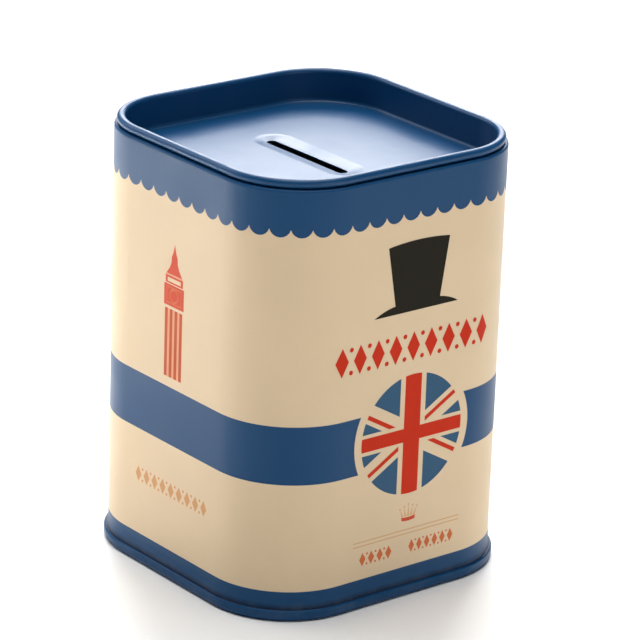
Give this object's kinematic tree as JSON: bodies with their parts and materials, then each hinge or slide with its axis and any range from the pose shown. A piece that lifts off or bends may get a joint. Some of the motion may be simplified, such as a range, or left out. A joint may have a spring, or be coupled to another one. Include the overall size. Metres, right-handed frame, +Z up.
{
  "type": "money box",
  "caption": "Square tin money box with rounded corners: a wrapped wall, a rolled-on base and a plug lid with a coin slot that lifts out.",
  "frame": {"origin": "middle of the ring that the tin stands on, at floor level", "axes": "+Z up; -Y is the front, with the hat and the round badge; -X is the side with the tower; the coin slot runs along Y"},
  "size_m": [0.078, 0.078, 0.105],
  "materials": {
    "printed_tinplate": "satin printed tinplate, cream ground with dark blue bands",
    "lacquered_tinplate": "satin dark blue lacquer on tinplate"
  },
  "bodies": {
    "body": {"body_wall": "printed_tinplate", "base_plate": "lacquered_tinplate"},
    "lid": {"lid": "lacquered_tinplate"}
  },
  "joints": [
    {"name": "lid_lift", "type": "slide", "parent": "body", "child": "lid", "axis": [0, 0, 1], "range_m": [0, 0.03]}
  ]
}
